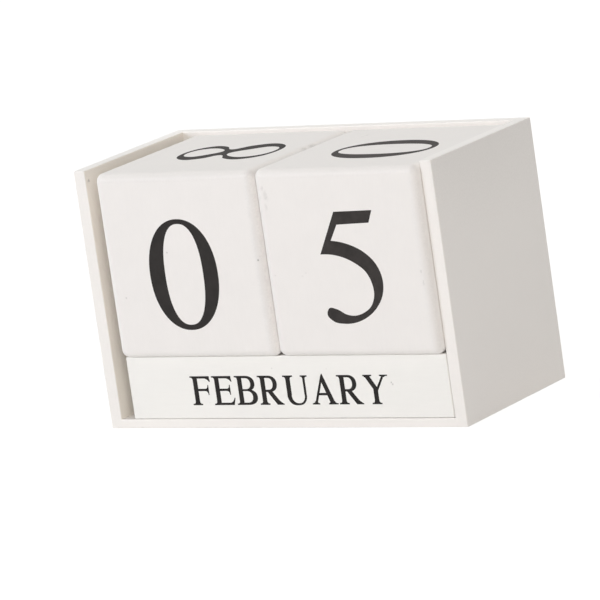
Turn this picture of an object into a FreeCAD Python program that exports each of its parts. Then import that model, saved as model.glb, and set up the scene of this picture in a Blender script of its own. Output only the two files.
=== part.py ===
import FreeCAD, Part
import os

# Block desk calendar: a painted wooden case, open at the front and the top, that holds
# two loose number cubes standing on a row of three month bars.
#
# Frame: millimetres, +Z up, +X to the right seen from the front, the front faces -Y.
# The origin is the centre of the case's underside.

# ---- driving dimensions -------------------------------------------------------------

# The number cubes
cube_side = 67.5
cube_round = 3.0

# The month bars: nearly square, so that any of their long faces can be the front
bar_depth = 21.5
bar_height = 22.9
bar_shorter_than_cubes = 0.4  # than the two cubes side by side
bar_round = 0.5
bar_count = 3  # four long faces each, for twelve months

# The boards of the case
side_thickness = 4.7
back_thickness = 4.4
base_thickness = 3.35
rim_above_cubes = 1.05
board_round = 0.4  # painted corners of the boards

# Headless pins that hold the boards together, sunk under the paint
pin_diameter = 0.8
pin_length = 14.0
pin_sunk = 0.6
pin_end_distance = 12.0  # from the end of a board to its first pin

# Clearances. The loose blocks are all pushed to the right, so the play is on the left.
left_play = 5.3
cube_spacing = 0.2
right_cube_gap = 0.1
right_bar_gap = 0.3
block_gap = 0.1  # under and between blocks that slide on each other
front_bar_set_back = 0.1
rear_bar_gap = 0.3
left_cube_rear_gap = 0.2
right_cube_rear_gap = 0.4

# ---- places that follow from them ---------------------------------------------------

# The inside of the case is sized by the blocks it holds.
bay_width = left_play + 2 * cube_side + cube_spacing + right_cube_gap
bars_depth = bar_count * bar_depth + (bar_count - 1) * block_gap
bay_depth = front_bar_set_back + bars_depth + rear_bar_gap

bar_bottom = base_thickness + block_gap
cube_bottom = bar_bottom + bar_height + block_gap

case_width = bay_width + 2 * side_thickness
case_depth = bay_depth + back_thickness
case_height = cube_bottom + cube_side + rim_above_cubes

front = -case_depth / 2
rear = case_depth / 2
left = -case_width / 2
right = case_width / 2

bay_left = left + side_thickness
bay_right = right - side_thickness
bay_rear = rear - back_thickness


def box(low, high):
    """A box between two opposite corners."""
    size = [b - a for a, b in zip(low, high)]
    return Part.makeBox(*size, FreeCAD.Vector(*low))


def rounded_block(low, high, radius):
    """A wooden block with all its edges rounded."""
    block = box(low, high)
    return block.makeFillet(radius, block.Edges)


# ---- pins ---------------------------------------------------------------------------


def spread(low, high, count):
    """Evenly spaced places from low to high."""
    return [low + (high - low) * i / (count - 1) for i in range(count)]


def pins(starts, direction):
    """One pin from each start point along a direction."""
    radius = pin_diameter / 2
    way = FreeCAD.Vector(*direction)
    return [
        Part.makeCylinder(radius, pin_length, FreeCAD.Vector(*start), way)
        for start in starts
    ]


def side_pins(x, way):
    """Three pins into the back board's edge and three into the base board's edge."""
    back_middle = rear - back_thickness / 2
    base_middle = base_thickness / 2
    heights = spread(pin_end_distance, case_height - pin_end_distance, 3)
    depths = spread(front + pin_end_distance, bay_rear - pin_end_distance, 3)
    into_back = [(x, back_middle, z) for z in heights]
    into_base = [(x, y, base_middle) for y in depths]
    return pins(into_back + into_base, (way, 0, 0))


def back_board_pins():
    """Three pins through the back board into the base, clear of the side pins."""
    reach = bay_right - pin_length - pin_end_distance
    starts = [
        (x, rear - pin_sunk, base_thickness / 2) for x in spread(-reach, reach, 3)
    ]
    return pins(starts, (0, -1, 0))


left_side_pins = side_pins(left + pin_sunk, 1)
right_side_pins = side_pins(right - pin_sunk, -1)
back_pins = back_board_pins()
all_pins = Part.makeCompound(left_side_pins + right_side_pins + back_pins)

# ---- case ---------------------------------------------------------------------------


def on_outside(edge):
    """True for an edge that lies on the case's outer faces, where paint rounds it."""
    middle = edge.BoundBox.Center
    near = 1e-6
    return (
        abs(abs(middle.x) - right) < near
        or abs(abs(middle.y) - rear) < near
        or abs(middle.z) < near
        or abs(middle.z - case_height) < near
    )


def whole_case():
    """The case in one piece. The boards are parted from it, so its corners run through."""
    outer = box((left, front, 0), (right, rear, case_height))
    bay_low = (bay_left, front - case_depth, base_thickness)
    bay_high = (bay_right, bay_rear, case_height + case_depth)
    case = outer.cut(box(bay_low, bay_high))
    return case.makeFillet(board_round, [e for e in case.Edges if on_outside(e)])


case = whole_case()


def board(low, high):
    """One board of the case, drilled for its pins."""
    return case.common(box(low, high)).cut(all_pins)


left_side_board = board((left, front, 0), (bay_left, rear, case_height))
right_side_board = board((bay_right, front, 0), (right, rear, case_height))
back_board = board((bay_left, bay_rear, 0), (bay_right, rear, case_height))
base_board = board((bay_left, front, 0), (bay_right, bay_rear, base_thickness))

# ---- number cubes -------------------------------------------------------------------


def number_cube(right_face, rear_gap):
    """A cube given by its right face and by its distance from the back board."""
    cube_front = bay_rear - rear_gap - cube_side
    low = (right_face - cube_side, cube_front, cube_bottom)
    high = [place + cube_side for place in low]
    return rounded_block(low, high, cube_round)


right_cube_right = bay_right - right_cube_gap
left_cube_right = right_cube_right - cube_side - cube_spacing
right_number_cube = number_cube(right_cube_right, right_cube_rear_gap)
left_number_cube = number_cube(left_cube_right, left_cube_rear_gap)

# ---- month bars ---------------------------------------------------------------------


def month_bar(place):
    """A month bar; place 0 is the front one, and the others stand behind it."""
    bar_front = front + front_bar_set_back + place * (bar_depth + block_gap)
    bar_right = bay_right - right_bar_gap
    bar_left = bar_right - 2 * cube_side + bar_shorter_than_cubes
    low = (bar_left, bar_front, bar_bottom)
    high = (bar_right, bar_front + bar_depth, bar_bottom + bar_height)
    return rounded_block(low, high, bar_round)


# ---- one file per node --------------------------------------------------------------

nodes = {
    "left_side_board": left_side_board,
    "right_side_board": right_side_board,
    "back_board": back_board,
    "base_board": base_board,
    "left_side_pins": Part.makeCompound(left_side_pins),
    "right_side_pins": Part.makeCompound(right_side_pins),
    "back_pins": Part.makeCompound(back_pins),
    "left_number_cube": left_number_cube,
    "right_number_cube": right_number_cube,
    "front_month_bar": month_bar(0),
    "middle_month_bar": month_bar(1),
    "rear_month_bar": month_bar(bar_count - 1),
}

os.makedirs("parts", exist_ok=True)
for name, shape in nodes.items():
    assert shape.isValid(), name
    shape.exportStep(f"parts/{name}.step")
    print(f"{name}: {len(shape.Solids)} solids, {shape.Volume:.1f} mm3, {shape.BoundBox}")
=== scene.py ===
"""Perpetual block calendar: paint and print for its case, number cubes and month bars, in a plain studio."""

import math

import bmesh
import bpy
from mathutils import Matrix, Vector
from mathutils.geometry import delaunay_2d_cdt


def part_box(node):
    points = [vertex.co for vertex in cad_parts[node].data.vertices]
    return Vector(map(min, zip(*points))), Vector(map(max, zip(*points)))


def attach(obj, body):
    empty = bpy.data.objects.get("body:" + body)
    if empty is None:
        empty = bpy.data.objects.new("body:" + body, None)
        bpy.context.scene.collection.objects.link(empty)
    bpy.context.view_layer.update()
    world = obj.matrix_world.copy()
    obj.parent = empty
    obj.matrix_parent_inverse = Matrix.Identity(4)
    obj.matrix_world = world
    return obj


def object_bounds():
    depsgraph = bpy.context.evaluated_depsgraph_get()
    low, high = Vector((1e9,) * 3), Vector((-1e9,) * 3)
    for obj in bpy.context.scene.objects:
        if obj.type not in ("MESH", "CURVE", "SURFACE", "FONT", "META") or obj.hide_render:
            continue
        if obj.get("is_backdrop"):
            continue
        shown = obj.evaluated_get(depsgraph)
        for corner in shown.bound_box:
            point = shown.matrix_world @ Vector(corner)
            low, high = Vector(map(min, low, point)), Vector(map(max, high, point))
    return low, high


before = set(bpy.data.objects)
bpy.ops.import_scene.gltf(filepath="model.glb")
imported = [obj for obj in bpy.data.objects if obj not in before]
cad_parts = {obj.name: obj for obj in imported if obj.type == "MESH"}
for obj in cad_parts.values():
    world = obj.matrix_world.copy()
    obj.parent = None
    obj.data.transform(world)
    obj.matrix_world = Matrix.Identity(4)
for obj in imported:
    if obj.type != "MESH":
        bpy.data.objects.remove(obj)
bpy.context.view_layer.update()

bl_info = {
    "name": "Perpetual Block Calendar",
    "version": (1, 0, 0),
    "blender": (4, 5, 0),
    "location": "View3D > Sidebar > Calendar",
    "description": "Finishes the case, number cubes and month bars of a perpetual desk calendar",
    "category": "Object",
}

MM = 0.001
RIGHT, REAR, UP = Vector((1, 0, 0)), Vector((0, 1, 0)), Vector((0, 0, 1))

CASE_BOARDS = ("left_side_board", "right_side_board", "back_board", "base_board")
PIN_GROUPS = ("left_side_pins", "right_side_pins", "back_pins")


# ---------------------------------------------------------------- materials


def linear(hex_colour):
    """An sRGB hex colour as linear red, green, blue and alpha."""
    parts = [int(hex_colour[i : i + 2], 16) / 255 for i in (1, 3, 5)]
    return [p / 12.92 if p <= 0.04045 else ((p + 0.055) / 1.055) ** 2.4 for p in parts] + [1]


def add(tree, kind, inputs=None, **settings):
    """Adds a node with its settings, and gives its inputs their values or links."""
    node = tree.nodes.new(kind)
    for name, value in settings.items():
        setattr(node, name, value)
    for key, value in (inputs or {}).items():
        if isinstance(value, bpy.types.NodeSocket):
            tree.links.new(value, node.inputs[key])
        else:
            node.inputs[key].default_value = value
    return node


def empty_material(name):
    """A new material with nothing in its node tree."""
    material = bpy.data.materials.new(name)
    material.use_nodes = True
    material.node_tree.nodes.clear()
    return material, material.node_tree


def noise_at(tree, place, size_mm, detail, stretch=(1, 1, 1)):
    """Noise whose features are about size_mm across, in the object's own metres."""
    mapping = add(tree, "ShaderNodeMapping", {"Vector": place, "Scale": stretch})
    return add(
        tree,
        "ShaderNodeTexNoise",
        {"Vector": mapping.outputs[0], "Scale": 1 / (size_mm * MM), "Detail": detail, "Roughness": 0.55},
    ).outputs[0]


MARK_EDGE_MM = 0.7  # size of the raggedness of a mark's edge
FIBRE_RELIEF = 0.05 * MM
GLOSS_CLOUD = 0.04  # how far the roughness of a paint wanders either way


def with_marks_and_shade(tree, place, shade, marks_and_shade, fade=(0.6, 1.5)):
    """Darkens a shade at ragged spots, or lightens it where a spot's depth is below 0.

    Each mark is (place in m, three radii in mm, depth). fade is where it starts to fade and where it ends, in
    radii plus the noise that makes its edge ragged."""
    ragged = noise_at(tree, place, MARK_EDGE_MM, 3)
    for spot, radii, depth in marks_and_shade:
        offset = add(tree, "ShaderNodeVectorMath", {0: place, 1: spot}, operation="SUBTRACT").outputs[0]
        scaled = add(
            tree, "ShaderNodeVectorMath", {0: offset, 1: [1 / (r * MM) for r in radii]}, operation="MULTIPLY"
        ).outputs[0]
        reach = add(tree, "ShaderNodeVectorMath", {0: scaled}, operation="LENGTH").outputs["Value"]
        uneven = add(tree, "ShaderNodeMath", {0: reach, 1: ragged}, operation="ADD").outputs[0]
        mark = add(
            tree,
            "ShaderNodeMapRange",
            {"Value": uneven, "From Min": fade[0], "From Max": fade[1], "To Min": 1 - depth, "To Max": 1},
            interpolation_type="SMOOTHSTEP",
        ).outputs[0]
        shade = add(tree, "ShaderNodeMath", {0: shade, 1: mark}, operation="MULTIPLY").outputs[0]
    return shade


def painted_wood(name, colour, mottle, fibre, fibre_stretch, peel, roughness, marks_and_shade=(), inside=None):
    """Paint over wood: cloudy tone, faint fibres showing through, fine spray texture, a few small knocks, and
    spots and strips of painted shade and light.

    mottle, fibre and peel are (size in mm, strength) of each pattern. Beech pores are about 0.1 mm across, too
    fine to show, so the fibres are drawn as wide as they need to be. inside is (x in m, colour): to the right
    of x the paint is that colour instead, which puts painted warm bounce light on a board's inner face."""
    material, tree = empty_material(name)
    place = add(tree, "ShaderNodeTexCoord").outputs["Object"]
    cloud = noise_at(tree, place, mottle[0], 3)
    fibres = noise_at(tree, place, fibre[0], 4, fibre_stretch)
    orange_peel = noise_at(tree, place, peel[0], 2)
    tone = add(
        tree,
        "ShaderNodeMapRange",
        {"Value": cloud, "From Min": 0.3, "From Max": 0.7, "To Min": 1 - mottle[1], "To Max": 1 + mottle[1]},
    ).outputs[0]
    streak = add(
        tree,
        "ShaderNodeMapRange",
        {"Value": fibres, "From Min": 0.35, "From Max": 0.65, "To Min": 1 - fibre[1], "To Max": 1 + fibre[1]},
    ).outputs[0]
    shade = add(tree, "ShaderNodeMath", {0: tone, 1: streak}, operation="MULTIPLY").outputs[0]
    shade = with_marks_and_shade(tree, place, shade, marks_and_shade)
    paint = colour[:3]
    if inside:
        across = add(tree, "ShaderNodeSeparateXYZ", {0: place}).outputs[0]
        beyond = add(tree, "ShaderNodeMath", {0: across, 1: inside[0]}, operation="GREATER_THAN").outputs[0]
        paint = add(
            tree, "ShaderNodeMix", {"Factor": beyond, "A": colour[:3], "B": inside[1][:3]}, data_type="VECTOR"
        ).outputs["Result"]
    toned = add(tree, "ShaderNodeVectorMath", {0: paint, "Scale": shade}, operation="SCALE").outputs[0]
    grain = add(
        tree, "ShaderNodeBump", {"Height": fibres, "Distance": FIBRE_RELIEF, "Strength": 0.35}
    ).outputs[0]
    surface = add(
        tree,
        "ShaderNodeBump",
        {"Height": orange_peel, "Distance": peel[1] * MM, "Strength": 0.5, "Normal": grain},
    ).outputs[0]
    least, most = roughness - GLOSS_CLOUD, roughness + GLOSS_CLOUD
    gloss = add(
        tree,
        "ShaderNodeMapRange",
        {"Value": cloud, "From Min": 0.3, "From Max": 0.7, "To Min": least, "To Max": most},
    ).outputs[0]
    skin = add(
        tree,
        "ShaderNodeBsdfPrincipled",
        {"Base Color": toned, "Roughness": gloss, "IOR": 1.5, "Normal": surface},
    )
    add(tree, "ShaderNodeOutputMaterial", {"Surface": skin.outputs[0]})
    return material


def screen_ink(name, colour, thin_range):
    """Screen-printed charcoal ink, squeegeed through a mesh: nearly matt, a little thin in cloudy patches.

    thin_range is the share of the ink's own shade where the film is fullest and where it is thinnest. The mesh
    leaves a tooth of about 0.1 mm, which is drawn coarser to show."""
    material, tree = empty_material(name)
    place = add(tree, "ShaderNodeTexCoord").outputs["Object"]
    patch = noise_at(tree, place, 4.0, 4)
    thin = add(
        tree,
        "ShaderNodeMapRange",
        {"Value": patch, "From Min": 0.35, "From Max": 0.7, "To Min": thin_range[0], "To Max": thin_range[1]},
    ).outputs[0]
    toned = add(tree, "ShaderNodeVectorMath", {0: colour[:3], "Scale": thin}, operation="SCALE").outputs[0]
    tooth = add(
        tree,
        "ShaderNodeBump",
        {"Height": noise_at(tree, place, 0.4, 2), "Distance": 0.01 * MM, "Strength": 0.4},
    ).outputs[0]
    skin = add(
        tree,
        "ShaderNodeBsdfPrincipled",
        {"Base Color": toned, "Roughness": 0.8, "IOR": 1.5, "Specular IOR Level": 0.25, "Normal": tooth},
    )
    add(tree, "ShaderNodeOutputMaterial", {"Surface": skin.outputs[0]})
    return material


def drawn_wire(colour):
    """Bright drawn steel wire: fine scratches along its length from the die, drawn coarser than they are."""
    material, tree = empty_material("bright_drawn_steel_wire")
    place = add(tree, "ShaderNodeTexCoord").outputs["Object"]
    scratches = noise_at(tree, place, 0.3, 3, (0.1, 1, 1))
    gloss = add(
        tree, "ShaderNodeMapRange", {"Value": scratches, "To Min": 0.25, "To Max": 0.4}
    ).outputs[0]
    skin = add(
        tree,
        "ShaderNodeBsdfPrincipled",
        {"Base Color": colour, "Metallic": 1.0, "Roughness": gloss},
    )
    add(tree, "ShaderNodeOutputMaterial", {"Surface": skin.outputs[0]})
    return material


def finish_node(node_name, material):
    """Gives a CAD node a better material in all its slots."""
    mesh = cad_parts[node_name].data
    if not mesh.materials:
        mesh.materials.append(material)
    for i in range(len(mesh.materials)):
        mesh.materials[i] = material


# ---------------------------------------------------------------- printed shapes
#
# A printed character is a list of (sign, outline) in millimetres: +1 prints ink and -1 leaves a counter, and
# a later outline wins over an earlier one. Numbers are drawn round their own centre, letters up from the
# baseline.

NUMBER_HEIGHT = 40.4
CAP_HEIGHT = 10.5
STEM = 1.86  # width of a thick stroke
HAIRLINE = 0.84  # width of a thin stroke
FOOT_REACH = 1.08  # how far a serif reaches past its stroke, at the foot and at the head
HEAD_REACH = 1.15
SERIF_TIP = 0.5  # thickness of a serif's tip
BRACKET = 1.6  # height of a serif where it joins its stroke
CORNER = 1


def smooth(*points, steps=8):
    """A closed outline that curves through its points. One that ends with CORNER is a sharp corner."""
    count, outline = len(points), []

    def slope(i):
        """The directions and lengths of the chords before and after a point."""
        here, before, after = (Vector(points[k % count][:2]) for k in (i, i - 1, i + 1))
        back, ahead = here - before, after - here
        return back / back.length, ahead / ahead.length, back.length, ahead.length

    def tangent(i):
        """The direction of the curve at a point, closer to that of the shorter chord."""
        before, after, back, ahead = slope(i)
        mixed = before * ahead + after * back
        return mixed.normalized() if mixed.length > 1e-9 else after

    for i in range(count):
        j = (i + 1) % count
        start, end = Vector(points[i][:2]), Vector(points[j][:2])
        sharp_start, sharp_end = len(points[i]) > 2, len(points[j]) > 2
        span = (end - start).length
        if sharp_start and sharp_end:
            outline.append(start)
            continue
        chord = (end - start).normalized()
        go = chord if sharp_start else tangent(i)
        come = chord if sharp_end else tangent(j)
        if sharp_start and not sharp_end:
            go = (2 * chord - come).normalized()
        if sharp_end and not sharp_start:
            come = (2 * chord - go).normalized()
        for s in range(steps):
            t = s / steps
            a, b = 2 * t**3 - 3 * t**2 + 1, t**3 - 2 * t**2 + t
            c, d = -2 * t**3 + 3 * t**2, t**3 - t**2
            outline.append(a * start + b * span * go + c * end + d * span * come)
    return outline


def oval(x, y, half_width, half_height, power=2.0, steps=72):
    """A closed oval, squarer as power rises above 2."""
    outline = []
    for i in range(steps):
        c, s = math.cos(math.tau * i / steps), math.sin(math.tau * i / steps)
        outline.append(
            Vector(
                (
                    x + half_width * math.copysign(abs(c) ** (2 / power), c),
                    y + half_height * math.copysign(abs(s) ** (2 / power), s),
                )
            )
        )
    return outline


def box_outline(x0, x1, y0, y1):
    """A rectangle."""
    return [Vector(p) for p in ((x0, y0), (x1, y0), (x1, y1), (x0, y1))]


def poly(*points):
    """Straight lines from point to point."""
    return [Vector(p) for p in points]


def stem(x, width=STEM, bottom=0.0, top=CAP_HEIGHT, foot=(1, 1), head=(1, 1)):
    """An upright with bracketed serifs. foot and head are each serif's reach left and right, as a share."""
    fl, fr = [FOOT_REACH * share for share in foot]
    hl, hr = [HEAD_REACH * share for share in head]
    right, tip, cup = x + width, SERIF_TIP, BRACKET

    def bracket(inner, outer, level, direction):
        """From the tip's thin end in to the upright."""
        if abs(outer - inner) < 1e-6:
            return []
        return [
            (
                outer + (inner - outer) * (1 - (1 - t) ** 2.0),
                level + direction * (tip + (cup - tip) * t**2.6),
            )
            for t in (0, 0.25, 0.5, 0.7, 0.85, 1)
        ]

    points = [(x - fl, bottom), (right + fr, bottom)]
    points += bracket(right, right + fr, bottom, 1)
    points += bracket(right, right + hr, top, -1)[::-1]
    points += [(right + hr, top), (x - hl, top)]
    points += bracket(x, x - hl, top, -1)
    points += bracket(x, x - fl, bottom, 1)[::-1]
    return [Vector(p) for p in points]


def slab(x0, x1, inner0, inner1, level=0.0, direction=1, height=0.9):
    """A bracketed serif under a slanting stroke that meets it from inner0 to inner1."""
    tip = direction * SERIF_TIP
    rise = direction * height
    return smooth(
        (x0, level, CORNER),
        (x1, level, CORNER),
        (x1, level + tip, CORNER),
        (x1 + (inner1 - x1) * 0.72, level + tip + 0.25 * (rise - tip)),
        (inner1, level + rise, CORNER),
        (inner0, level + rise, CORNER),
        (x0 + (inner0 - x0) * 0.72, level + tip + 0.25 * (rise - tip)),
        (x0, level + tip, CORNER),
    )


def half_bowl(x, right, bottom, top, power=2.2, straight=0.42, steps=40):
    """The outline of a bowl: straight from x for a share of its reach, then round to the right."""
    turn = x + (right - x) * straight
    middle, half = (bottom + top) / 2, (top - bottom) / 2
    points = [(x, bottom)]
    for i in range(steps + 1):
        angle = -math.pi / 2 + math.pi * i / steps
        c, s = math.cos(angle), math.sin(angle)
        points.append(
            (
                turn + (right - turn) * abs(c) ** (2 / power),
                middle + half * math.copysign(abs(s) ** (2 / power), s),
            )
        )
    points.append((x, top))
    return [Vector(p) for p in points]


def top_beak(x, drop=2.05, width=2.0, top=CAP_HEIGHT):
    """The hanging wedge at the end of a top arm."""
    return smooth(
        (x - 0.42, top, CORNER),
        (x - 0.08, top - drop, CORNER),
        (x - 0.46, top - drop, CORNER),
        (x - 1.0, top - HAIRLINE - 0.62),
        (x - width - 0.4, top - HAIRLINE, CORNER),
        (x - width - 0.4, top, CORNER),
    )


def bottom_beak(x, rise=2.6, width=3.0, lean=0.75):
    """The standing wedge at the end of a bottom arm."""
    return smooth(
        (x - width, 0, CORNER),
        (x - 0.08, 0, CORNER),
        (x + lean - 0.08, rise, CORNER),
        (x + lean - 0.5, rise, CORNER),
        (x - 0.62, 1.28),
        (x - width, HAIRLINE, CORNER),
    )


def middle_tick(x, y, reach=1.8):
    """The upright wedge across the end of a middle arm."""
    return smooth(
        (x, y - reach, CORNER),
        (x, y + reach, CORNER),
        (x - 0.36, y + reach, CORNER),
        (x - 0.78, y + 0.66),
        (x - 1.6, y + HAIRLINE / 2, CORNER),
        (x - 1.6, y - HAIRLINE / 2, CORNER),
        (x - 0.78, y - 0.66),
        (x - 0.36, y - reach, CORNER),
    )


def number_shapes():
    """The printed numbers, 40.4 mm high, round their own centres."""
    foot_reach = 7.9
    return {
        "0": [(1, oval(0, 0, 14.48, 20.2, 2.12)), (-1, oval(0.12, 0.08, 8.08, 18.35, 2.35))],
        "1": [
            (
                1,
                smooth(
                    (-foot_reach, -20.2, CORNER),
                    (foot_reach, -20.2, CORNER),
                    (foot_reach, -19.1, CORNER),
                    (4.3, -18.2),
                    (2.55, -15.0, CORNER),
                    (2.55, 20.2, CORNER),
                    (1.4, 20.2, CORNER),
                    (-8.7, 15.3, CORNER),
                    (-8.3, 14.1, CORNER),
                    (-4.4, 15.0),
                    (-2.55, 12.2, CORNER),
                    (-2.55, -15.0, CORNER),
                    (-4.3, -18.2),
                    (-foot_reach, -19.1, CORNER),
                ),
            )
        ],
        "2": [
            (
                1,
                smooth(
                    (-12.6, -20.2, CORNER),
                    (10.2, -20.2, CORNER),
                    (12.9, -11.4, CORNER),
                    (11.7, -11.4, CORNER),
                    (9.9, -14.4),
                    (6.4, -15.8, CORNER),
                    (-5.6, -15.8, CORNER),
                    (2.2, -7.9),
                    (8.2, -0.6),
                    (10.7, 7.6),
                    (8.7, 15.2),
                    (3.6, 19.3),
                    (-1.8, 20.2),
                    (-8.1, 17.6),
                    (-11.7, 11.1, CORNER),
                    (-10.5, 10.6, CORNER),
                    (-7.3, 14.7),
                    (-2.6, 16.3),
                    (2.7, 14.2),
                    (5.2, 8.4),
                    (3.8, 1.4),
                    (-1.7, -7.0),
                    (-12.6, -19.0, CORNER),
                ),
            )
        ],
        "3": [
            (
                1,
                smooth(
                    (-10.9, 11.6, CORNER),
                    (-7.2, 17.4),
                    (-0.8, 20.2),
                    (6.0, 18.2),
                    (8.7, 12.9),
                    (7.0, 7.6),
                    (3.0, 3.9, CORNER),
                    (8.4, 0.7),
                    (10.6, -5.8),
                    (8.1, -14.0),
                    (0.6, -19.4),
                    (-7.2, -20.2),
                    (-11.7, -18.2),
                    (-11.2, -15.8),
                    (-7.6, -15.9),
                    (-1.8, -17.8),
                    (3.4, -15.2),
                    (5.7, -8.6),
                    (3.4, -2.6),
                    (-1.4, -0.3),
                    (-5.4, 0.2, CORNER),
                    (-5.4, 1.2, CORNER),
                    (0.2, 3.2),
                    (3.7, 7.3),
                    (4.0, 12.0),
                    (1.2, 15.9),
                    (-3.0, 16.6),
                    (-7.0, 14.5),
                    (-9.8, 11.2, CORNER),
                ),
            )
        ],
        "4": [
            (1, poly((-12.9, -7.2), (4.3, 20.2), (7.4, 20.2), (7.4, -7.2))),
            (-1, poly((-9.6, -7.2), (2.5, 12.4), (2.5, -7.2))),
            (1, box_outline(-12.9, 12.9, -11.2, -7.2)),
            (1, box_outline(2.5, 7.4, -20.2, 20.2)),
        ],
        "5": [
            (
                1,
                smooth(
                    (-3.95, 19.92, CORNER),
                    (11.75, 20.17, CORNER),
                    (9.85, 15.75, CORNER),
                    (-3.4, 15.3, CORNER),
                    (-6.7, 9.62, CORNER),
                    (0.57, 8.1),
                    (6.5, 5.1),
                    (10.4, 1.1),
                    (12.35, -4.9),
                    (11.5, -9.95),
                    (8.5, -14.5),
                    (4.0, -17.95),
                    (-1.8, -19.95),
                    (-5.8, -20.15),
                    (-10.3, -19.1),
                    (-12.3, -16.7),
                    (-11.2, -14.5),
                    (-8.4, -14.8),
                    (-4.15, -16.9),
                    (-1.0, -17.3),
                    (2.8, -16.3),
                    (6.25, -13.9),
                    (8.0, -9.9),
                    (7.75, -5.8),
                    (5.9, -1.8),
                    (1.8, 1.5),
                    (-4.0, 4.0),
                    (-11.75, 4.8, CORNER),
                ),
            )
        ],
        "6": [
            (1, oval(0.2, -7.4, 12.5, 12.8, 2.1)),
            (-1, oval(0.5, -8.0, 7.0, 10.9, 2.15)),
            (
                1,
                smooth(
                    (11.3, 20.2, CORNER),
                    (11.5, 19.1, CORNER),
                    (4.3, 15.7),
                    (-1.8, 9.4),
                    (-5.6, 1.6),
                    (-6.5, -8.0, CORNER),
                    (-12.3, -8.0, CORNER),
                    (-11.2, 1.2),
                    (-6.4, 10.4),
                    (1.4, 17.2),
                ),
            ),
        ],
        "7": [
            (
                1,
                smooth(
                    (-9.6, 19.8, CORNER),
                    (12.2, 19.8, CORNER),
                    (12.2, 18.7, CORNER),
                    (0.4, -20.2, CORNER),
                    (-3.7, -20.2, CORNER),
                    (7.2, 15.2, CORNER),
                    (-4.8, 15.2, CORNER),
                    (-8.9, 14.1),
                    (-11.5, 10.4, CORNER),
                    (-12.5, 10.9, CORNER),
                ),
            )
        ],
        "8": [
            (
                1,
                smooth(
                    (0.4, 20.4),
                    (-7.4, 18.3),
                    (-11.3, 12.0),
                    (-9.4, 6.2),
                    (-4.6, 1.6),
                    (-10.2, -3.4),
                    (-13.0, -10.2),
                    (-9.4, -17.6),
                    (0, -20.4),
                    (9.5, -17.6),
                    (13.2, -10.4),
                    (10.4, -3.0),
                    (5.0, 2.6),
                    (9.8, 7.2),
                    (11.7, 12.6),
                    (8.0, 18.3),
                ),
            ),
            (
                -1,
                smooth(
                    (0.5, 18.8),
                    (-4.4, 17.1),
                    (-6.0, 13.0),
                    (-3.2, 8.2),
                    (2.6, 4.4),
                    (6.7, 8.2),
                    (7.7, 12.9),
                    (5.3, 17.3),
                ),
            ),
            (
                -1,
                smooth(
                    (-2.4, -0.5),
                    (-7.4, -4.8),
                    (-9.0, -10.2),
                    (-6.0, -16.6),
                    (0.2, -18.8),
                    (6.0, -17.0),
                    (7.8, -12.6),
                    (4.4, -6.4),
                ),
            ),
        ],
    }


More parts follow.
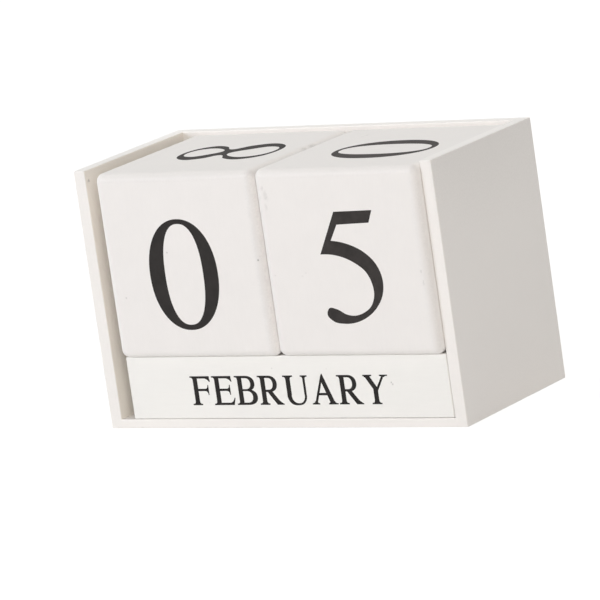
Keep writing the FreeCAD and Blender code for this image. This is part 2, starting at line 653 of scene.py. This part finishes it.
def letter_shapes():
    """The capitals that the month names need, drawn 10.5 mm high, up from the baseline."""
    cap, hair = CAP_HEIGHT, HAIRLINE
    p_bowl = [(1, half_bowl(0.8, 6.75, 4.6, cap)), (-1, half_bowl(STEM, 5.0, 4.6 + hair, cap - hair))]
    e_arms = [
        (1, box_outline(0.8, 7.0, cap - hair, cap)),
        (1, top_beak(7.3)),
        (1, box_outline(0.8, 5.7, 5.1, 5.1 + hair)),
        (1, middle_tick(6.25, 5.5)),
    ]
    return {
        "A": [
            (1, poly((4.95, 10.4), (5.45, 11.0), (5.8, 10.2), (2.3, 0.3), (1.3, 0.3))),
            (1, poly((5.05, 10.4), (5.3, 11.0), (5.6, 11.0), (9.75, 0.3), (7.8, 0.3), (4.65, 8.9))),
            (1, box_outline(2.6, 7.3, 3.3, 3.3 + hair)),
            (1, slab(0.25, 3.3, 1.4, 2.4, height=1.2)),
            (1, slab(7.0, 10.9, 7.6, 9.55, height=1.2)),
        ],
        "B": [
            (1, half_bowl(0.8, 7.05, 5.0, cap)),
            (-1, half_bowl(STEM, 5.3, 5.7, cap - hair)),
            (1, half_bowl(0.8, 7.75, 0, 5.65)),
            (-1, half_bowl(STEM, 5.75, hair, 5.0)),
            (1, stem(0, foot=(1, 0), head=(1, 0))),
        ],
        "C": [
            (1, oval(5.1, 5.25, 5.1, 5.5, 2.1)),
            (-1, oval(5.75, 5.25, 3.95, 4.95, 2.15)),
            (-1, box_outline(7.3, 11.0, 1.9, 7.6)),
            (
                1,
                smooth(
                    (9.2, 10.7, CORNER),
                    (9.45, 7.1, CORNER),
                    (9.05, 7.1, CORNER),
                    (8.3, 9.0),
                    (6.6, 10.2, CORNER),
                    (8.0, 10.05),
                    (8.85, 10.7, CORNER),
                ),
            ),
            (
                1,
                smooth(
                    (7.0, 0.3, CORNER),
                    (8.6, 0.85),
                    (9.9, 2.2, CORNER),
                    (9.6, 2.5, CORNER),
                    (8.3, 1.4),
                    (6.6, 0.8, CORNER),
                ),
            ),
        ],
        "D": [
            (1, half_bowl(0.8, 9.4, 0, cap, 2.1, 0.36)),
            (-1, half_bowl(STEM, 7.55, hair, cap - hair, 2.15, 0.36)),
            (1, stem(0, foot=(1, 0), head=(1, 0))),
        ],
        "E": e_arms
        + [
            (1, box_outline(0.8, 7.2, 0, hair)),
            (1, bottom_beak(7.25)),
            (1, stem(0, foot=(1, 0), head=(1, 0))),
        ],
        "F": e_arms + [(1, stem(0, head=(1, 0)))],
        "G": [
            (1, oval(5.1, 5.25, 5.1, 5.5, 2.1)),
            (-1, oval(5.75, 5.25, 3.95, 4.95, 2.15)),
            (-1, box_outline(7.3, 11.0, 1.9, 7.6)),
            (
                1,
                smooth(
                    (9.1, 10.7, CORNER),
                    (9.35, 7.3, CORNER),
                    (8.95, 7.3, CORNER),
                    (8.2, 9.1),
                    (6.6, 10.2, CORNER),
                    (7.9, 10.1),
                    (8.75, 10.7, CORNER),
                ),
            ),
            (1, stem(8.0, bottom=0.75, top=4.6, foot=(0, 0), head=(1, 0.9))),
            (
                1,
                smooth(
                    (6.4, 0.1, CORNER),
                    (8.4, 0.35),
                    (9.62, 0.95, CORNER),
                    (9.62, 1.6, CORNER),
                    (8.0, 1.3),
                    (6.4, 0.75, CORNER),
                ),
            ),
        ],
        "H": [
            (1, box_outline(1, 8.2, 5.1, 5.1 + hair)),
            (1, stem(0)),
            (1, stem(6.6)),
        ],
        "I": [(1, stem(0))],
        "J": [
            (
                1,
                smooth(
                    (2.4, 4.2, CORNER),
                    (2.4, 2.2),
                    (1.9, 0.7),
                    (1.15, 0.35),
                    (0.75, 0.85),
                    (0.35, 1.45),
                    (-0.45, 1.45),
                    (-0.85, 0.75),
                    (-0.5, 0.05),
                    (0.6, -0.25),
                    (2.5, 0.15),
                    (3.75, 1.9),
                    (4.02, 4.2, CORNER),
                ),
            ),
            (1, stem(2.4, bottom=4.1, foot=(0, 0))),
        ],
        "L": [
            (1, box_outline(0.8, 7.0, 0, hair)),
            (1, bottom_beak(6.95, 3.1, 3.3)),
            (1, stem(0, foot=(1, 0))),
        ],
        "M": [
            (1, poly((0, cap), (1.75, cap), (6.2, 2.2), (5.55, 0))),
            (1, poly((5.55, 0), (6.05, 1.6), (9.9, cap), (10.6, cap), (10.6, cap - 0.9))),
            (1, stem(0.1, 0.62, foot=(0.95, 1), head=(1, 0))),
            (1, stem(9.55, STEM, head=(0, 1))),
        ],
        "N": [
            (1, poly((-0.6, cap), (1.7, cap), (8.35, 2.3), (8.35, -0.25), (7.75, -0.25), (0.1, 9.2))),
            (1, stem(0.1, 0.62, foot=(0.95, 1), head=(1, 0))),
            (1, stem(7.75, 0.62, bottom=-0.25, foot=(0, 0), head=(1.1, 0.95))),
        ],
        "O": [
            (1, oval(5.2, 5.25, 5.2, 5.5, 2.1)),
            (-1, oval(5.2, 5.25, 3.35, 4.98, 2.15)),
        ],
        "P": p_bowl + [(1, stem(0, head=(1, 0)))],
        "R": p_bowl
        + [
            (
                1,
                smooth(
                    (2.2, 5.1, CORNER),
                    (4.3, 5.1, CORNER),
                    (5.95, 2.9),
                    (7.5, 1.15),
                    (8.85, 0.34, CORNER),
                    (8.85, 0, CORNER),
                    (6.0, 0, CORNER),
                ),
            ),
            (1, stem(0, head=(1, 0))),
        ],
        "S": [
            (
                1,
                smooth(
                    (6.2, 10.75, CORNER),
                    (6.45, 7.5, CORNER),
                    (6.05, 7.5, CORNER),
                    (5.35, 9.2),
                    (3.55, 10.15),
                    (1.9, 9.5),
                    (1.6, 8.15),
                    (2.5, 6.95),
                    (5.2, 5.4),
                    (6.95, 3.75),
                    (6.85, 1.7),
                    (5.4, 0.2),
                    (3.4, -0.22),
                    (1.5, 0.25),
                    (0.75, 0.35),
                    (0.45, -0.2, CORNER),
                    (0.1, -0.2, CORNER),
                    (-0.1, 3.3, CORNER),
                    (0.3, 3.3, CORNER),
                    (1.3, 1.35),
                    (3.4, 0.35),
                    (5.2, 1.15),
                    (5.3, 2.7),
                    (3.9, 4.0),
                    (1.4, 5.45),
                    (0.1, 7.1),
                    (0.35, 9.2),
                    (2.0, 10.6),
                    (3.7, 10.72),
                    (5.0, 10.3),
                    (5.7, 10.3),
                    (5.9, 10.75, CORNER),
                ),
            )
        ],
        "T": [
            (1, box_outline(-3.2, 4.8, cap - hair, cap)),
            (1, top_beak(5.2, 2.4)),
            (1, [Vector((STEM - p.x, p.y)) for p in top_beak(5.2, 2.4)]),
            (1, stem(0, foot=(1.05, 1.05), head=(0, 0))),
        ],
        "U": [
            (
                1,
                smooth(
                    (0, 3.7, CORNER),
                    (0.35, 1.7),
                    (1.7, 0.2),
                    (4.15, -0.22),
                    (6.5, 0.3),
                    (7.7, 1.75),
                    (8.02, 3.7, CORNER),
                ),
            ),
            (
                -1,
                smooth(
                    (STEM, 3.75, CORNER),
                    (2.0, 1.95),
                    (2.95, 0.9),
                    (4.5, 0.5),
                    (6.0, 0.9),
                    (6.85, 1.95),
                    (7.08, 3.75, CORNER),
                ),
            ),
            (1, stem(0, bottom=3.6, foot=(0, 0))),
            (1, stem(7.08, 0.94, bottom=3.6, foot=(0, 0), head=(0.8, 0.85))),
        ],
        "V": [
            (1, poly((1.1, 10.2), (2.95, 10.2), (5.95, 2.35), (5.6, -0.25), (5.1, -0.25))),
            (1, poly((8.55, 10.2), (9.25, 10.2), (5.6, -0.25), (5.15, -0.25))),
            (1, slab(0, 4.0, 1.25, 2.9, cap, -1)),
            (1, slab(7.25, 10.4, 8.3, 9.15, cap, -1)),
        ],
        "Y": [
            (1, poly((1.0, 10.1), (3.1, 10.1), (6.05, 5.6), (6.05, 4.6), (4.15, 4.6), (4.15, 5.3))),
            (1, poly((8.1, 10.1), (9.05, 10.1), (6.05, 4.9), (5.2, 5.3))),
            (1, slab(0.4, 4.05, 1.0, 3.05, cap, -1)),
            (1, slab(7.2, 10.45, 7.95, 9.05, cap, -1)),
            (1, stem(4.1, top=5.2, head=(0, 0))),
        ],
    }


WORD_SHIFT = 0.6  # millimetres to the right of the face's middle
LETTER_GAP = 0.72
# Pairs of letters that stand closer together, or wider apart, than the gap
KERNS = {"RU": -0.15, "AY": -1.3, "AR": -0.25, "TO": -0.2, "AU": -0.2, "EB": -0.2, "UA": 0.25, "RY": 0.1}


def word_shapes(word, letters):
    """The outlines of a word, set letter by letter and centred on its own middle."""
    shapes, pen = [], 0.0
    for before, letter in zip(" " + word, word):
        parts = letters[letter]
        left = min(p.x for _, outline in parts for p in outline)
        right = max(p.x for sign, outline in parts for p in outline if sign > 0)
        pen += KERNS.get(before + letter, 0.0)
        shapes += [(sign, [p + Vector((pen - left, 0)) for p in outline]) for sign, outline in parts]
        pen += right - left + LETTER_GAP
    middle = Vector(((pen - LETTER_GAP) / 2, CAP_HEIGHT / 2))
    return [(sign, [p - middle for p in outline]) for sign, outline in shapes]


def area(outline):
    """The area inside an outline, negative if it runs clockwise."""
    return sum(a.cross(b) for a, b in zip(outline, outline[1:] + outline[:1])) / 2


INSIDE_ONLY, MERGE_MM = 1, 1e-4  # the faces that the triangulation keeps, and how close it merges points


def add_print(bm, shapes, origin, across, upward, film, scale):
    """Adds one printed character or word to bm as a closed film of ink.

    film is how far its back lies under the face and how far its front stands out, in metres."""
    points, loops = [], []
    for _, outline in shapes:
        turned = outline if area(outline) > 0 else outline[::-1]
        loops.append(list(range(len(points), len(points) + len(turned))))
        points += turned
    verts, _, faces, _, _, sources = delaunay_2d_cdt(points, [], loops, INSIDE_ONLY, MERGE_MM, True)
    outward = across.cross(upward)
    inked = [f for f, inside in zip(faces, sources) if inside and shapes[max(inside)][0] > 0]
    used = sorted({i for f in inked for i in f})
    spots = {i: origin + (across * verts[i].x + upward * verts[i].y) * scale * MM for i in used}
    backs = {i: bm.verts.new(spots[i] - outward * film[0]) for i in used}
    fronts = {i: bm.verts.new(spots[i] + outward * film[1]) for i in used}
    for f in inked:
        bm.faces.new([fronts[i] for i in f])
        bm.faces.new([backs[i] for i in reversed(f)])
    # A side that no other inked face runs back along is an edge of the print, and gets a wall.
    sides = [(f[k - 1], f[k]) for f in inked for k in range(len(f))]
    known = set(sides)
    for a, b in sides:
        if (b, a) not in known:
            bm.faces.new((backs[a], backs[b], fronts[b], fronts[a]))


def printed_piece(name, body, prints, material):
    """One object that holds all the prints of one block and rides with it."""
    bm = bmesh.new()
    for shapes, origin, across, upward, film, scale in prints:
        add_print(bm, shapes, origin, across, upward, film, scale)
    bmesh.ops.recalc_face_normals(bm, faces=bm.faces)
    mesh = bpy.data.meshes.new(name)
    bm.to_mesh(mesh)
    bm.free()
    mesh.materials.append(material)
    piece = bpy.data.objects.new(name, mesh)
    bpy.context.scene.collection.objects.link(piece)
    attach(piece, body)


# ---------------------------------------------------------------- settings


class CalendarSizes(bpy.types.PropertyGroup):
    number_height: bpy.props.FloatProperty(
        name="Number height",
        description="Height of the numbers on the cubes",
        default=NUMBER_HEIGHT * MM,
        min=0.01,
        unit="LENGTH",
    )
    letter_height: bpy.props.FloatProperty(
        name="Letter height",
        description="Height of the capitals on the month bars",
        default=10.64 * MM,
        min=0.002,
        unit="LENGTH",
    )
    word_drop: bpy.props.FloatProperty(
        name="Word drop",
        description="How far the middle of a month name stands below the middle of its face",
        default=1.12 * MM,
        unit="LENGTH",
    )
    ink_film: bpy.props.FloatProperty(
        name="Ink film",
        description="How far the printed ink stands out of the paint",
        default=0.02 * MM,
        min=0.005 * MM,
        max=0.04 * MM,
        precision=6,
        unit="LENGTH",
    )


def colour_property(name, description, hex_colour):
    """A colour that the panel shows."""
    return bpy.props.FloatVectorProperty(
        name=name,
        description=description,
        subtype="COLOR",
        size=4,
        min=0,
        max=1,
        default=linear(hex_colour),
    )


class CalendarColours(bpy.types.PropertyGroup):
    case: colour_property("Case paint", "Satin white of the case", "#f8f5f2")
    cubes: colour_property("Cube paint", "Warmer, more matt white of the number cubes", "#f4f1ef")
    bars: colour_property("Bar paint", "Cooler white of the month bars", "#f7f6f3")
    ink: colour_property("Ink", "Charcoal of the printed numbers and month names", "#2b2827")
    wire: colour_property("Pin wire", "Bright steel of the pins inside the boards", "#b9b9bb")


def sizes():
    """The sizes that the panel shows."""
    return bpy.context.scene.calendar_sizes


def colours():
    """The colours that the panel shows."""
    return bpy.context.scene.calendar_colours


def face_middle(node_name, side):
    """The middle of one face of a block, by the face's outward side."""
    low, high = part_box(node_name)
    middle, half = (low + high) / 2, (high - low) / 2
    return middle + Vector(s * h for s, h in zip(side, half))


MARK_REACH_IN = 2.0  # how far a mark reaches into a block from its face, in millimetres

# Small knocks and specks, and painted shade and light: strips of painted shade down the cubes' right-hand
# roundings and along their top edges, a painted highlight on the left board's top, and the right board's side
# painted darker at the top and lighter at the bottom. Each is the face's outward side, millimetres right and up
# from the face's lower left corner, the spot's half width and half height in millimetres, and its depth of
# tone.
# A depth below 0 is a lighter patch.
MARKS_AND_PAINTED_SHADE = {
    "left_number_cube": (
        (-REAR, 65.0, 35.1, 0.6, 0.6, 0.5),
        (-REAR, 6.6, 22.3, 0.55, 0.5, 0.25),
        (-REAR, 27.0, 38.6, 0.5, 0.5, 0.25),
        (-REAR, 65.9, 36.4, 0.4, 0.5, 0.12),
        (UP, 66.6, 42.5, 1.6, 3.2, 0.2),
        (UP, 66.4, 37.0, 1.2, 2.8, 0.16),
        # Painted shade: strips down the right-hand rounding, where this cube meets the other, and along the top
        # edges.
        (-REAR, 65.6, 36.0, 2.6, 60.0, 0.08),
        (RIGHT, 1.2, 36.0, 2.4, 60.0, 0.08),
        (RIGHT, 33.8, 66.0, 70.0, 2.2, 0.11),
        (-REAR, 33.0, 66.0, 70.0, 2.2, 0.06),
    ),
    "right_number_cube": (
        (-REAR, 4.3, 58.4, 1.2, 2.6, 0.11),
        (-REAR, 3.5, 60.8, 0.8, 1.3, 0.1),
        (-REAR, 4.1, 54.2, 0.9, 2.0, 0.09),
        (-REAR, 4.9, 57.0, 1.1, 1.6, 0.05),
        (-REAR, 2.3, 59.2, 0.5, 1.6, -0.08),
        (-REAR, 3.8, 29.5, 0.5, 0.5, 0.1),
        (-REAR, 15.0, 29.0, 0.7, 0.5, 0.06),
        (-REAR, 16.6, 30.2, 0.6, 0.5, 0.06),
        (-REAR, 63.9, 30.0, 0.5, 0.9, 0.14),
        (-REAR, 64.3, 26.0, 0.5, 1.6, 0.12),
        (UP, 14.6, 55.0, 1.3, 1.2, 0.12),
        (UP, 14.2, 52.4, 1.0, 1.0, 0.1),
        (UP, 3.4, 61.0, 1.2, 2.0, 0.1),
        # Painted shade: strips down the right-hand rounding beside the right board, along the top front edge,
        # and along the top of the face towards the other cube.
        (-REAR, 65.6, 33.0, 2.6, 70.0, 0.045),
        (RIGHT, 1.2, 33.0, 2.4, 70.0, 0.06),
        (-REAR, 33.0, 66.0, 70.0, 2.2, 0.035),
        (-RIGHT, 33.8, 66.0, 70.0, 2.2, 0.09),
    ),
    "front_month_bar": (
        (-REAR, 110.8, 12.8, 0.45, 0.5, 0.35),
        (-REAR, 111.3, 12.1, 0.45, 0.5, 0.35),
        (-REAR, 61.9, 18.3, 0.45, 0.45, 0.2),
        (-REAR, 84.7, 17.9, 0.4, 0.4, 0.08),
        (-REAR, 33.5, 5.9, 0.4, 0.4, 0.08),
    ),
    "left_side_board": (
        # A painted highlight: the rear half of the board's top made lighter.
        (UP, 2.35, 66.0, 14.0, 34.0, -0.1),
        (RIGHT, 2.1, 91.0, 1.0, 0.8, 0.4),
    ),
    "right_side_board": (
        # Painted shade at the top of the side and painted light at its bottom.
        (RIGHT, 34.7, 108.0, 100.0, 50.0, 0.075),
        (RIGHT, 34.7, -10.0, 100.0, 30.0, -0.04),
    ),
}


def marks_and_painted_shade_on(node_name):
    """The knocks, specks and painted shade and light of a block, as painted_wood takes them."""
    low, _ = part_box(node_name)
    found = []
    for side, right_mm, up_mm, half_width, half_height, depth in MARKS_AND_PAINTED_SHADE.get(node_name, ()):
        across, upward = ((1, 2), (0, 2), (0, 1))[max(range(3), key=lambda axis: abs(side[axis]))]
        point, radii = face_middle(node_name, side), [MARK_REACH_IN] * 3
        point[across], point[upward] = low[across] + right_mm * MM, low[upward] + up_mm * MM
        radii[across], radii[upward] = half_width, half_height
        found.append((point, radii, depth))
    return found


# ---------------------------------------------------------------- operators

CUBE_FACES = {
    "front": (-REAR, RIGHT, UP),
    "right": (RIGHT, REAR, UP),
    "rear": (REAR, -RIGHT, UP),
    "left": (-RIGHT, -REAR, UP),
    "top": (UP, REAR, -RIGHT),
    "under": (-UP, -REAR, -RIGHT),
}
# The number on each face, and how far the print is off the middle of the face, across and up, in millimetres.
CUBE_NUMBERS = {
    "left_cube": {
        "front": ("0", -0.88, -3.28),
        "top": ("8", -1.15, -4.25),
        "right": ("2", 0.4, -0.6),
        "rear": ("7", 0.2, -1.1),
        "left": ("1", -0.5, -0.4),
        "under": ("6", 0.3, 0.5),
    },
    "right_cube": {
        "front": ("5", 1.75, -1.82),
        "top": ("0", -4.45, -3.85),
        "right": ("3", 0.5, -0.8),
        "rear": ("4", -0.4, -0.5),
        "left": ("1", 0.6, -1.0),
        "under": ("2", -0.3, 0.4),
    },
}
CUBE_NODES = {"left_cube": "left_number_cube", "right_cube": "right_number_cube"}

BAR_FACES = (
    (-REAR, RIGHT, UP),
    (UP, RIGHT, REAR),
    (REAR, RIGHT, -UP),
    (-UP, RIGHT, -REAR),
)
BAR_MONTHS = {
    "front_bar": ("FEBRUARY", "MARCH", "APRIL", "JANUARY"),
    "middle_bar": ("MAY", "JUNE", "JULY", "AUGUST"),
    "rear_bar": ("SEPTEMBER", "OCTOBER", "NOVEMBER", "DECEMBER"),
}
BAR_NODES = {"front_bar": "front_month_bar", "middle_bar": "middle_month_bar", "rear_bar": "rear_month_bar"}

# How much whiter the back board's paint is made: painted light for the light that its inner face and top catch.
BACK_BOARD_PAINTED_LIGHT = 1.06
# A warmer white for the left board's inner face, painted warm bounce light, and how far in from that face it
# starts.
INSIDE_PAINTED_BOUNCE, INSIDE_PAINTED_BOUNCE_DEPTH = "#fcf6ed", 0.05 * MM
INK_UNDER = 0.02 * MM  # how far the back of a print lies under the paint's face
# The shade of the ink where its film is fullest and where it is thinnest, as shares of its own colour
FULL_INK, THIN_INK, THICK_INK = (0.9, 1.2), (1.25, 1.85), (0.54, 0.96)


class CALENDAR_OT_case(bpy.types.Operator):
    """Paint the case boards"""

    bl_idname = "calendar.case"
    bl_label = "Case"

    def execute(self, context):
        # Satin lacquer sprayed on planed boards: an even, faintly clouded white with a soft sheen. The back
        # board's is made a touch whiter, painted light for the light that its inner face and top edge catch.
        # Inside the left board the white is warmer, painted warm light bounced into the narrow gap beside the
        # cubes.
        painted_bounce_face = (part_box("left_side_board")[1].x - INSIDE_PAINTED_BOUNCE_DEPTH, linear(INSIDE_PAINTED_BOUNCE))
        for node_name in CASE_BOARDS:
            painted_light = BACK_BOARD_PAINTED_LIGHT if node_name == "back_board" else 1.0
            paint = painted_wood(
                f"satin_lacquer_on_{node_name}",
                [painted_light * part for part in colours().case],
                mottle=(22, 0.006),
                fibre=(0.9, 0.004),
                fibre_stretch=(0.12, 1, 1),
                peel=(1.1, 0.02),
                roughness=0.32,
                marks_and_shade=marks_and_painted_shade_on(node_name),
                inside=painted_bounce_face if node_name == "left_side_board" else None,
            )
            finish_node(node_name, paint)
        return {"FINISHED"}


class CALENDAR_OT_pins(bpy.types.Operator):
    """Finish the steel pins that hold the boards together"""

    bl_idname = "calendar.pins"
    bl_label = "Pins"

    def execute(self, context):
        wire = drawn_wire(colours().wire)
        for node_name in PIN_GROUPS:
            finish_node(node_name, wire)
        return {"FINISHED"}


class CALENDAR_OT_cubes(bpy.types.Operator):
    """Paint the number cubes and print their numbers"""

    bl_idname = "calendar.cubes"
    bl_label = "Number cubes"

    def execute(self, context):
        numbers = number_shapes()
        # The left cube's ink is full. The right cube's lies thinner.
        inks = {
            "left_cube": screen_ink("screen_ink_full", colours().ink, FULL_INK),
            "right_cube": screen_ink("screen_ink_thin", colours().ink, THIN_INK),
        }
        film = (INK_UNDER, sizes().ink_film)
        scale = sizes().number_height / (NUMBER_HEIGHT * MM)
        for body, node_name in CUBE_NODES.items():
            # Warm white emulsion rolled on beech: matt, with a little more cloud than the case.
            finish_node(
                node_name,
                painted_wood(
                    f"matt_emulsion_on_beech_{body}",
                    colours().cubes,
                    mottle=(9, 0.008),
                    fibre=(0.8, 0.005),
                    fibre_stretch=(1, 1, 0.15),
                    peel=(0.8, 0.02),
                    roughness=0.5,
                    marks_and_shade=marks_and_painted_shade_on(node_name),
                ),
            )
            prints = []
            for face, (number, right_mm, up_mm) in CUBE_NUMBERS[body].items():
                side, across, upward = CUBE_FACES[face]
                origin = face_middle(node_name, side) + (across * right_mm + upward * up_mm) * MM
                prints.append((numbers[number], origin, across, upward, film, scale))
            printed_piece(f"{body}_numbers", body, prints, inks[body])
        return {"FINISHED"}


class CALENDAR_OT_bars(bpy.types.Operator):
    """Paint the month bars and print the month names"""

    bl_idname = "calendar.bars"
    bl_label = "Month bars"

    def execute(self, context):
        # The names are small, so their ink is squeezed on thicker and reads darker.
        letters, ink = letter_shapes(), screen_ink("screen_ink_thick", colours().ink, THICK_INK)
        film = (INK_UNDER, sizes().ink_film)
        scale = sizes().letter_height / (CAP_HEIGHT * MM)
        for body, node_name in BAR_NODES.items():
            # Cool white satin paint on planed beech bars.
            finish_node(
                node_name,
                painted_wood(
                    f"satin_paint_on_beech_{body}",
                    colours().bars,
                    mottle=(12, 0.006),
                    fibre=(0.8, 0.005),
                    fibre_stretch=(0.1, 1, 1),
                    peel=(0.9, 0.02),
                    roughness=0.45,
                    marks_and_shade=marks_and_painted_shade_on(node_name),
                ),
            )
            prints = []
            for (side, across, upward), month in zip(BAR_FACES, BAR_MONTHS[body]):
                shift = across * WORD_SHIFT * MM - upward * sizes().word_drop
                origin = face_middle(node_name, side) + shift
                prints.append((word_shapes(month, letters), origin, across, upward, film, scale))
            printed_piece(f"{body}_names", body, prints, ink)
        return {"FINISHED"}


CAMERA_AZIMUTH = math.radians(33.6197)
CAMERA_ELEVATION = math.radians(11.0856)
CAMERA_ROLL = math.radians(-8.2723)
CAMERA_DISTANCE = 2.10056
CAMERA_LENS_MM = 352.48
AIM_OFFSET_MM = Vector((-8.5214, -0.35, -8.8914))


def place_camera(middle):
    """A long lens from the front right, a little above, rolled so that the calendar leans."""
    back = Vector(
        (
            math.sin(CAMERA_AZIMUTH) * math.cos(CAMERA_ELEVATION),
            -math.cos(CAMERA_AZIMUTH) * math.cos(CAMERA_ELEVATION),
            math.sin(CAMERA_ELEVATION),
        )
    )
    level_right = (-back).cross(UP).normalized()
    level_up = level_right.cross(-back)
    right = math.cos(CAMERA_ROLL) * level_right + math.sin(CAMERA_ROLL) * level_up
    up = -math.sin(CAMERA_ROLL) * level_right + math.cos(CAMERA_ROLL) * level_up
    data = bpy.data.cameras.new("camera")
    data.lens = CAMERA_LENS_MM
    data.sensor_width = 36
    data.clip_start, data.clip_end = 0.05, 50
    camera = bpy.data.objects.new("camera", data)
    turn = Matrix((right, up, back)).transposed().to_4x4()
    aim = middle + AIM_OFFSET_MM * MM
    camera.matrix_world = Matrix.Translation(aim + back * CAMERA_DISTANCE) @ turn
    bpy.context.scene.collection.objects.link(camera)
    bpy.context.scene.camera = camera


def seen_directly(tree):
    """1 for what the camera sees straight or in a gloss or a glass, and 0 for light that falls on things."""
    path = add(tree, "ShaderNodeLightPath")
    gloss = add(
        tree,
        "ShaderNodeMath",
        {0: path.outputs["Is Glossy Ray"], 1: path.outputs["Is Transmission Ray"]},
        operation="MAXIMUM",
    ).outputs[0]
    return add(
        tree, "ShaderNodeMath", {0: path.outputs["Is Camera Ray"], 1: gloss}, operation="MAXIMUM"
    ).outputs[0]


PAPER, PAPER_SHOWN = "#f5f5f4", "#b4b4b4"
PAPER_GLOW = 0.74
FLOOR_HALF_WIDTH = 6


def white_sweep():
    """White seamless paper, which reads as plain white and still takes the soft shadow of the case."""
    material, tree = empty_material("white_seamless_paper")
    place = add(tree, "ShaderNodeTexCoord").outputs["Object"]
    pulp = add(
        tree,
        "ShaderNodeMapRange",
        {"Value": noise_at(tree, place, 60, 3), "To Min": 0.985, "To Max": 1.0},
    ).outputs[0]
    white = add(
        tree, "ShaderNodeVectorMath", {0: linear(PAPER)[:3], "Scale": pulp}, operation="SCALE"
    ).outputs[0]
    lit = add(tree, "ShaderNodeBsdfDiffuse", {"Color": white})
    pale = add(tree, "ShaderNodeBsdfDiffuse", {"Color": linear(PAPER_SHOWN)})
    glow = add(tree, "ShaderNodeEmission", {"Color": (1, 1, 1, 1), "Strength": PAPER_GLOW})
    shown = add(tree, "ShaderNodeAddShader", {0: pale.outputs[0], 1: glow.outputs[0]})
    either = add(
        tree, "ShaderNodeMixShader", {0: seen_directly(tree), 1: lit.outputs[0], 2: shown.outputs[0]}
    )
    add(tree, "ShaderNodeOutputMaterial", {"Surface": either.outputs[0]})
    return material


# Each panel: name, degrees round from the front and up from the floor, width in metres, watts, tint
PANELS = (
    ("right_panel", 35, 25, 1.6, 15.5, "#fff6ea"),
    ("front_left_panel", -40, 20, 0.5, 12.5, "#f4f7ff"),
    ("rear_panel", 180, 40, 1.2, 10.7, "#fffaf3"),
    ("left_panel", -90, 40, 0.5, 8.3, "#fafdf2"),
)
PANEL_DISTANCE = 2.0
ROOM_LIGHT = 0.26
ROOM_TINT = "#f7f9ff"


def soft_panel(name, place, aim, size, power, tint):
    """A square soft light that faces a point."""
    data = bpy.data.lights.new(name, "AREA")
    data.shape = "SQUARE"
    data.size = size
    data.energy = power
    data.color = linear(tint)[:3]
    lamp = bpy.data.objects.new(name, data)
    lamp.location = place
    lamp.rotation_mode = "QUATERNION"
    lamp.rotation_quaternion = (Vector(aim) - Vector(place)).to_track_quat("-Z", "Y")
    bpy.context.scene.collection.objects.link(lamp)


class CALENDAR_OT_stage(bpy.types.Operator):
    """Set up the floor, the soft studio light and the camera"""

    bl_idname = "calendar.stage"
    bl_label = "Stage"

    def execute(self, context):
        scene = context.scene
        low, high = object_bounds()
        middle = (low + high) / 2

        bm = bmesh.new()
        bmesh.ops.create_grid(bm, x_segments=8, y_segments=8, size=FLOOR_HALF_WIDTH)
        mesh = bpy.data.meshes.new("floor")
        bm.to_mesh(mesh)
        bm.free()
        mesh.materials.append(white_sweep())
        floor = bpy.data.objects.new("floor", mesh)
        floor.location = (0, 0, low.z)
        scene.collection.objects.link(floor)
        floor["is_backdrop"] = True

        world = bpy.data.worlds.new("studio")
        world.use_nodes = True
        tree = world.node_tree
        tree.nodes.clear()
        shell = add(tree, "ShaderNodeBackground", {"Color": linear(ROOM_TINT), "Strength": ROOM_LIGHT})
        white = add(tree, "ShaderNodeBackground", {"Color": (1, 1, 1, 1), "Strength": 1.0})
        either = add(
            tree, "ShaderNodeMixShader", {0: seen_directly(tree), 1: shell.outputs[0], 2: white.outputs[0]}
        )
        add(tree, "ShaderNodeOutputWorld", {"Surface": either.outputs[0]})
        scene.world = world

        for name, azimuth, elevation, size, power, tint in PANELS:
            turn, lift = math.radians(azimuth), math.radians(elevation)
            away = Vector((math.sin(turn) * math.cos(lift), -math.cos(turn) * math.cos(lift), math.sin(lift)))
            soft_panel(name, middle + away * PANEL_DISTANCE, middle, size, power, tint)

        place_camera(middle)
        scene.view_settings.view_transform = "Standard"
        return {"FINISHED"}


class CALENDAR_PT_panel(bpy.types.Panel):
    bl_idname = "CALENDAR_PT_panel"
    bl_label = "Block calendar"
    bl_space_type = "VIEW_3D"
    bl_region_type = "UI"
    bl_category = "Calendar"

    def draw(self, context):
        column = self.layout.column()
        for group in (context.scene.calendar_sizes, context.scene.calendar_colours):
            for name in group.__annotations__:
                column.prop(group, name)
        for operator in OPERATORS:
            column.operator(operator.bl_idname)


OPERATORS = (CALENDAR_OT_case, CALENDAR_OT_pins, CALENDAR_OT_cubes, CALENDAR_OT_bars, CALENDAR_OT_stage)
CLASSES = (CalendarSizes, CalendarColours, *OPERATORS, CALENDAR_PT_panel)


def register():
    """Adds the classes, and the scene's own sizes and colours."""
    for cls in CLASSES:
        bpy.utils.register_class(cls)
    bpy.types.Scene.calendar_sizes = bpy.props.PointerProperty(type=CalendarSizes)
    bpy.types.Scene.calendar_colours = bpy.props.PointerProperty(type=CalendarColours)


def unregister():
    """Takes out what register added."""
    del bpy.types.Scene.calendar_colours
    del bpy.types.Scene.calendar_sizes
    for cls in reversed(CLASSES):
        bpy.utils.unregister_class(cls)


def main():
    register()
    for step in (
        bpy.ops.calendar.case,
        bpy.ops.calendar.pins,
        bpy.ops.calendar.cubes,
        bpy.ops.calendar.bars,
        bpy.ops.calendar.stage,
    ):
        step()


if __name__ == "__main__":
    main()
